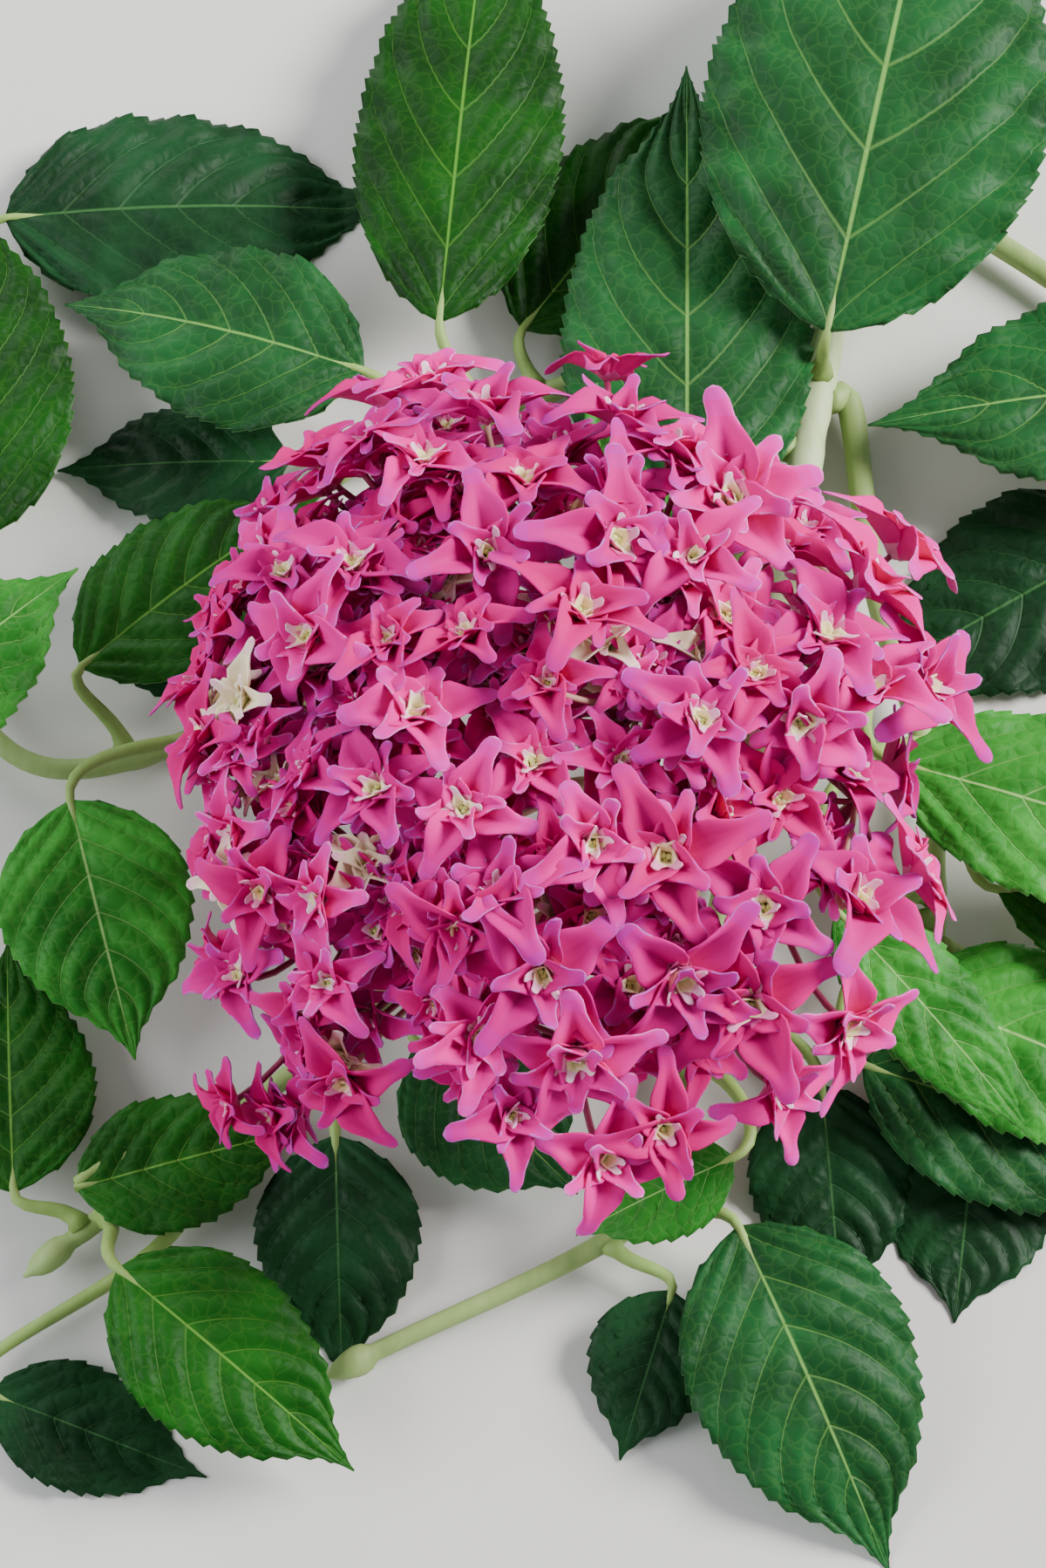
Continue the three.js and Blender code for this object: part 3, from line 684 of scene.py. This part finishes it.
bloom = {
    "middle": (9, -3), "reach": (94, 108), "rimHeight": 49, "crownHeight": 68,
    "florets": 92, "cymes": 18, "branches": 6, "cymeShare": 0.74, "branchShare": 0.36, "lowShare": 0.84,
    "crowdedLeft": 0.1, "facingUp": 0.5, "seed": 4216,
    # notches in its outline: direction, depth (below 0 for a lobe) and spread
    "notches": ((66, 0.32, 15), (38, -0.12, 10), (110, -0.1, 16), (178, 0.06, 20), (222, -0.08, 10),
                (246, 0.1, 9), (272, 0.1, 14), (303, -0.06, 8), (350, 0.05, 14)),
}
floretShape = {"radius": 18, "smallerLeft": 0.2, "turnedBy": 0.45, "lowSize": 0.85}
neckLength = 12


def outlineAt(angle):
    share = 1
    for middle, depth, spread in bloom["notches"]:
        away = (angle - middle + 180) % 360 - 180
        share -= depth * math.exp(-(away / spread) ** 2)
    return share


def discPlaces(count, random):
    shake = 0.05
    goldenAngle = 137.508
    places = []
    for i in range(count):
        radius = ((i + 0.5) / count) ** 0.45 + shake * (random() - 0.5)
        angle = i * goldenAngle + 120 * shake * (random() - 0.5)
        turn = math.radians(angle)
        reach = radius * outlineAt(angle)
        leftwards = bloom["crowdedLeft"] * (1 - radius * radius)
        places.append((reach * math.cos(turn) - leftwards, reach * math.sin(turn)))
    return places


def domeAt(place, share):
    # a point on the dome, or share of the way up to it, and the direction that it faces
    x, y = place
    height = math.sqrt(1 - min(math.hypot(x, y), 1) ** 2)
    point = Vector((bloom["middle"][0] + bloom["reach"][0] * x * share,
                    bloom["middle"][1] + bloom["reach"][1] * y * share,
                    bloom["rimHeight"] + bloom["crownHeight"] * height * share))
    return point, Vector((x, y, height + bloom["facingUp"])).normalized()


def nearest(place, places):
    return min(places, key=lambda other: math.hypot(place[0] - other[0], place[1] - other[1]))


def turnedAside(out, amount, random):
    aside = Vector((random() - 0.5, random() - 0.5, random() - 0.5))
    return (out + aside * amount).normalized()


def floretPlaces():
    random = seededRandom(bloom["seed"])
    florets = []
    for i, place in enumerate(discPlaces(bloom["florets"], random)):
        low = i % 3 == 2
        point, out = domeAt(place, bloom["lowShare"] if low else 1)
        out = turnedAside(out, 2 * floretShape["turnedBy"], random)
        size = (0.8 + 0.4 * random()) * (1 + floretShape["smallerLeft"] * place[0])
        radius = floretShape["radius"] * size * (floretShape["lowSize"] if low else 1)
        florets.append({"place": place, "point": point, "out": out, "radius": radius,
                        "sepals": 5 if i % 4 == 1 else 4, "spin": math.pi * random()})
    return florets


# colours of a sepal's zones, from its foot to its tip, in each tone that the florets come in
zones = ("foot", "body", "fade", "tip", "edge")
# the edge zone is a thin rim, lighter and more lilac than the body: partly the sepal's own pale margin,
# partly painted highlight on the curled edges
sepalTones = {
    "deep": ("#dd559e", "#d20878", "#cd0e80", "#c61788", "#c23a9e"),
    "rose": ("#f08cc0", "#e81494", "#e422a2", "#de34ae", "#e86ec2"),
    "mauve": ("#e670b0", "#cf0e84", "#c91890", "#c0249c", "#c256b4"),
    "young": ("#eef0a4", "#f6e4c2", "#f4ccc7", "#f2b4cc", "#f8e6dc"),
}
heartTones = {
    "deep": ("#e68cb8", "#f6e2b4"),
    "rose": ("#f8cce0", "#faf4c0"),
    "mauve": ("#efaed2", "#f6ecbc"),
    "young": ("#f2ecd0", "#e4e2a0"),
}
# thin sepals: soft and matt, and light glows through them a little
petalSkin = {"Specular IOR Level": 0.12, "Subsurface Weight": 0.1,
             "Subsurface Radius": (1.0, 0.35, 0.5), "Subsurface Scale": 1.2 * mm}
sepalMaterials = {tone: [plainMaterial("sepal %s %s" % (tone, zone), colour, 0.55, 1.36, petalSkin)
                         for zone, colour in zip(zones, colours)]
                  for tone, colours in sepalTones.items()}
# the heart's small sepals are thicker and waxier
heartMaterials = {tone: [plainMaterial("floret heart tip " + tone, outer, 0.5),
                         plainMaterial("floret heart foot " + tone, inner, 0.5)]
                  for tone, (outer, inner) in heartTones.items()}

# sizes are shares of the floret's radius
sepalRings = {
    "outer": {"long": 1.14, "wide": 0.28, "rise": 36, "tip": -28, "turn": 0.0, "footEnd": 0.14,
              "rows": 12, "columns": 8, "seed": 501},
    "inner": {"long": 0.82, "wide": 0.21, "rise": 64, "tip": 0, "turn": 0.5, "footEnd": 0.26,
              "rows": 9, "columns": 6, "seed": 907},
    "heart": {"long": 0.41, "wide": 0.11, "rise": 78, "tip": 44, "turn": 0.25, "footEnd": 0.6,
              "rows": 8, "columns": 4, "seed": 1303},
}
zoneStarts = {"fade": 0.72, "tip": 0.86, "edgeBeside": 0.62, "edgeBeyond": 0.985}
sepalShape = {
    "neck": 0.45, "neckEnd": 0.34, "tongue": 0.56, "tongueStart": 0.38, "tongueEnd": 0.76, "roundEnd": 0.87,
    "cup": 0.62, "cupAtTip": -0.2, "keel": 0.16, "keelWidth": 0.25, "ruffle": 0.16, "groove": 0.08,
    "thickness": 0.38,
}


def sepalHalfWidth(ring, t):
    # egg-shaped, drawn in to a blunt round tongue
    shape = sepalShape
    body = (mix(shape["neck"], 1, smoothStep(0, shape["neckEnd"], t))
            * (1 - shape["tongue"] * smoothStep(shape["tongueStart"], shape["tongueEnd"], t)))
    end = max(0, (t - shape["roundEnd"]) / (1 - shape["roundEnd"]))
    return ring["wide"] * body * math.sqrt(max(0, 1 - end * end)) + 0.004


def closerAtTip(u):
    return 1 - (1 - u) ** 1.5


def heartZone(ring, t, aside):
    return 1 if t < ring["footEnd"] else 0


# the edge zone along the margins and past the tip carries the rim's painted highlight as well as its own
# paler colour
def sepalZone(ring, t, aside):
    beside = aside > 1 - 1.5 / ring["columns"] and t > zoneStarts["edgeBeside"]
    if beside or t > zoneStarts["edgeBeyond"]:
        return zones.index("edge")
    if t < ring["footEnd"]:
        return zones.index("foot")
    return zones.index("tip" if t > zoneStarts["tip"] else "fade" if t > zoneStarts["fade"] else "body")


def addSepal(bm, ring, zoneAt, turn, random):
    # in a floret of radius 1 that faces up
    def vary(amount):
        return amount * (random() - 0.5)

    shape = sepalShape
    columns = ring["columns"]
    rise = math.radians(ring["rise"] + vary(32))
    tip = math.radians(ring["tip"] + vary(64))
    long = ring["long"] * (0.82 + 0.28 * random())
    wide = 0.86 + 0.26 * random()
    twist = vary(1.0)
    lean = vary(0.34)
    spin = Quaternion((0, 0, 1), turn + vary(0.16))
    spots = []
    spot, steps = Vector((0.03, 0, 0.01)), 96
    for i in range(steps + 1):
        pitch = mix(rise, tip, (i / steps) ** 1.3)
        spots.append((spot.copy(), pitch))
        spot += Vector((math.cos(pitch), 0, math.sin(pitch))) * (long / steps)

    def place(t, column):
        v = math.sin(math.pi / 2 * column)
        middle, pitch = spots[round(t * steps)]
        half = sepalHalfWidth(ring, t) * wide
        cupped = mix(shape["cup"], shape["cupAtTip"], smoothStep(0.4, 0.9, t)) * v * v
        keel = shape["keel"] * math.exp(-(v / shape["keelWidth"]) ** 2) * smoothStep(0.8, 0.4, t)
        ruffle = shape["ruffle"] * v * v * math.sin(8 * t + 3 * turn + 2 * (v > 0))
        groove = shape["groove"] * math.cos(math.pi * columns / 4 * column) * smoothStep(1, 0.7, t)
        roll = twist * t * t
        sideways = half * v * math.cos(roll) + lean * t * t
        upwards = half * (cupped - keel + ruffle - groove + v * math.sin(roll))
        return spin @ (middle + Vector((-math.sin(pitch) * upwards, sideways, math.cos(pitch) * upwards)))

    made = addSheet(bm, ring["rows"], columns, lambda u, v: Vector((u, v, 0)))
    for face in {face for vert in made for face in vert.link_faces}:
        middle = face.calc_center_median()
        face.material_index = zoneAt(ring, closerAtTip(middle.x), abs(middle.y))
    for vert in made:
        vert.co = place(closerAtTip(vert.co.x), vert.co.y)


def floretPattern(ring, zoneAt, sepals, seed, small):
    if small:
        ring = dict(ring, rows=ring["rows"] - 3, columns=ring["columns"] - 2)
    random = seededRandom(seed)
    bm = bmesh.new()
    for i in range(sepals):
        addSepal(bm, ring, zoneAt, (i + ring["turn"]) / sepals * 2 * math.pi, random)
    mesh = bpy.data.meshes.new("floret pattern")
    bm.to_mesh(mesh)
    bm.free()
    return mesh


def smallFlorets(count, seed, start=0, sweep=360, inner=0.0, outer=0.92, depth=0.74, least=10):
    # younger florets that fill in low between the others
    random = seededRandom(seed)
    found = []
    for i in range(count):
        turn = math.radians(start + sweep * random())
        radius = math.sqrt(mix(inner ** 2, outer ** 2, random()))
        reach = radius * outlineAt(math.degrees(turn))
        place = (reach * math.cos(turn) - 0.22 * (1 - radius), reach * math.sin(turn))
        point, out = domeAt(place, depth + 0.18 * random())
        out = turnedAside(out, 0.8, random)
        found.append({"place": place, "point": point, "out": out, "radius": least + 5 * random(),
                      "sepals": 4, "spin": math.pi * random()})
    return found


leftSide = {"start": 140, "sweep": 115, "inner": 0.45, "outer": 1.0, "depth": 0.82}
upperLeft = {"start": 106, "sweep": 56, "inner": 0.5, "outer": 0.98, "depth": 0.8, "least": 12}
florets = floretPlaces() + smallFlorets(104, 9127)
florets += smallFlorets(64, 5501, **leftSide)
florets += smallFlorets(26, 7013, outer=0.6, depth=0.66)
florets += smallFlorets(32, 4409, **upperLeft)

toneRandom = seededRandom(77)
youngBelow, youngShare = 13, 0.14
tonesAcross = ("deep", "mauve", "rose")  # the crowded left is deeper, partly in its own colour and partly as painted shade on the less lit left of the bloom, and the right is paler, partly as painted light
for floret in florets:
    young = toneRandom() < youngShare and floret["radius"] < youngBelow
    level = int(toneRandom() * 3 + 0.9 * floret["place"][0])
    floret["tone"] = "young" if young else tonesAcross[min(max(level, 0), 2)]


def addFlorets(bm, ring, zoneAt, tone):
    patternCount, smallBelow = 5, 15.5
    patterns = {}
    for k in range(patternCount):
        for sepals in (4, 5):
            seed = ring["seed"] + 31 * k + sepals
            for small in (False, True):
                patterns[sepals, k, small] = floretPattern(ring, zoneAt, sepals, seed, small)
    for i, floret in enumerate(florets):
        if floret["tone"] != tone:
            continue
        pattern = patterns[floret["sepals"], i % patternCount, floret["radius"] < smallBelow].copy()
        turned = Vector((0, 0, 1)).rotation_difference(floret["out"])
        turned = turned @ Quaternion((0, 0, 1), floret["spin"])
        pattern.transform(Matrix.LocRotScale(floret["point"], turned, [floret["radius"]] * 3))
        bm.from_mesh(pattern)
        bpy.data.meshes.remove(pattern)
    for pattern in patterns.values():
        bpy.data.meshes.remove(pattern)


def thicken(piece, thickness):
    solid = piece.modifiers.new("sepal thickness", "SOLIDIFY")
    solid.thickness = thickness * mm
    solid.offset = 0


for tone in sepalTones:
    for kind, ring in sepalRings.items():
        isHeart = kind == "heart"
        bm = bmesh.new()
        addFlorets(bm, ring, heartZone if isHeart else sepalZone, tone)
        materials = heartMaterials[tone] if isHeart else sepalMaterials[tone]
        piece = newPiece("%s_sepals_%s" % (kind, tone), bm, materials, "bloom")
        thicken(piece, sepalShape["thickness"])
print("florets", len(florets))


# stalks: neck, branches, cymes and floret stalks

stalkShape = {
    "branch": {"baseRadius": 2.7, "tipRadius": 2.0, "rows": 10, "sides": 10},
    "cyme": {"baseRadius": 1.9, "tipRadius": 1.4, "rows": 12, "sides": 8, "sag": 0.04},
    "floret": {"baseRadius": 0.75, "tipRadius": 0.85, "rows": 10, "sides": 6, "sag": 0.02},
}
green, pink, crimson = range(3)
# young fleshy stalks: smooth with a satin skin
stalkMaterials = [plainMaterial("bloom stalk green", "#c3cf96", 0.5),
                  plainMaterial("bloom stalk pink", "#b98a7c", 0.5),
                  plainMaterial("floret stalk crimson", "#8f2a52", 0.5)]

rising = stemLimb.path.along(1)
fork = stemLimb.path.at(1) + rising * neckLength
random = seededRandom(bloom["seed"] + 1)
cymePlaces = discPlaces(bloom["cymes"], random)
branchPlaces = discPlaces(bloom["branches"], random)


def between(place, share):
    return fork.lerp(domeAt(place, 1)[0], share)


def addStalk(bm, start, end, material, baseRadius, tipRadius, rows, sides, sag=0.0, arrive=None):
    reach = (end - start).length
    leave = start + (end - start) * 0.35 - Vector((0, 0, sag * reach))
    come = end - (arrive or (end - start).normalized()) * (0.35 * reach)
    path = Path(lambda t: bezierPoint([start, leave, come, end], t), 24)
    addTube(bm, path, lambda u, turn: mix(baseRadius, tipRadius, u), rows, sides, material)


bm = bmesh.new()
addStalk(bm, stemLimb.path.at(1) - rising * 1.5, fork, green,
         stem["tipRadius"], stem["tipRadius"] * 0.95, rows=6, sides=16)
for place in branchPlaces:
    end = between(place, bloom["branchShare"])
    addStalk(bm, fork - rising * 4, end, green, **stalkShape["branch"])
for place in cymePlaces:
    start = between(nearest(place, branchPlaces), bloom["branchShare"] * 0.98)
    addStalk(bm, start, between(place, bloom["cymeShare"]), pink, **stalkShape["cyme"])
for i, floret in enumerate(florets):
    start = between(nearest(floret["place"], cymePlaces), bloom["cymeShare"] * 0.99)
    addStalk(bm, start, floret["point"], crimson if i % 5 else pink, arrive=floret["out"],
             **stalkShape["floret"])
newPiece("bloom_stalks", bm, stalkMaterials, "bloom")

# a few tiny green beads in the middle of each floret
bead = {"count": 3, "radius": 0.04, "aside": 0.035, "height": 0.1}  # shares of the floret's radius
bm = bmesh.new()
random = seededRandom(3331)
for floret in florets:
    turned = Vector((0, 0, 1)).rotation_difference(floret["out"])
    for i in range(bead["count"]):
        turn = i * 2.1 + random()
        aside = bead["aside"]
        spot = Vector((aside * math.cos(turn), aside * math.sin(turn), bead["height"] + 0.05 * random()))
        middle = floret["point"] + turned @ (spot * floret["radius"])
        bmesh.ops.create_icosphere(bm, subdivisions=1, radius=bead["radius"] * floret["radius"],
                                   matrix=Matrix.Translation(middle))
newPiece("floret_middles", bm, [plainMaterial("floret middle", "#d3d88e", 0.6)], "bloom")
print("stalks and middles")


# floor, light and camera

floorMesh = bpy.data.meshes.new("floor")
bm = bmesh.new()
bmesh.ops.create_grid(bm, x_segments=1, y_segments=1, size=4)
bm.to_mesh(floorMesh)
bm.free()
floorMesh.materials.append(plainMaterial("pale studio floor", "#dcdad6", 0.9))
floor = bpy.data.objects.new("floor", floorMesh)
bpy.context.scene.collection.objects.link(floor)

world = bpy.data.worlds.new("studio")
world.use_nodes = True
world.node_tree.nodes["Background"].inputs["Color"].default_value = (0.9, 0.94, 1.0, 1)
world.node_tree.nodes["Background"].inputs["Strength"].default_value = 0.38
bpy.context.scene.world = world

lights = {
    "key": {"place": (1.4, 0.35, 1.15), "size": 0.9, "watts": 74, "tint": (1.0, 0.985, 0.97)},
    "fill": {"place": (-1.4, -0.2, 0.9), "size": 1.2, "watts": 22, "tint": (0.93, 0.97, 1.0)},
    "back": {"place": (-0.8, 1.4, 0.8), "size": 0.9, "watts": 12, "tint": (1.0, 1.0, 1.0)},
}
aim = Vector((-0.019, -0.054, 0.045))
for name, setting in lights.items():
    light = bpy.data.lights.new(name, "AREA")
    light.shape = "DISK"
    light.size = setting["size"]
    light.energy = setting["watts"]
    light.color = setting["tint"]
    lamp = bpy.data.objects.new(name, light)
    lamp.location = setting["place"]
    lamp.rotation_euler = (aim - Vector(setting["place"])).to_track_quat("-Z", "Y").to_euler()
    bpy.context.scene.collection.objects.link(lamp)

elevation = math.radians(70)
distance = 0.85
cameraData = bpy.data.cameras.new("camera")
cameraData.sensor_fit = "VERTICAL"
cameraData.sensor_height = 36
cameraData.lens = 80
camera = bpy.data.objects.new("camera", cameraData)
camera.location = aim + distance * Vector((0, -math.cos(elevation), math.sin(elevation)))
camera.rotation_euler = (aim - camera.location).to_track_quat("-Z", "Y").to_euler()
bpy.context.scene.collection.objects.link(camera)
bpy.context.scene.camera = camera

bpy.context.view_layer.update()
faceCount = sum(len(piece.data.polygons) for piece in bpy.data.objects if piece.type == "MESH")
print("faces before modifiers", faceCount)
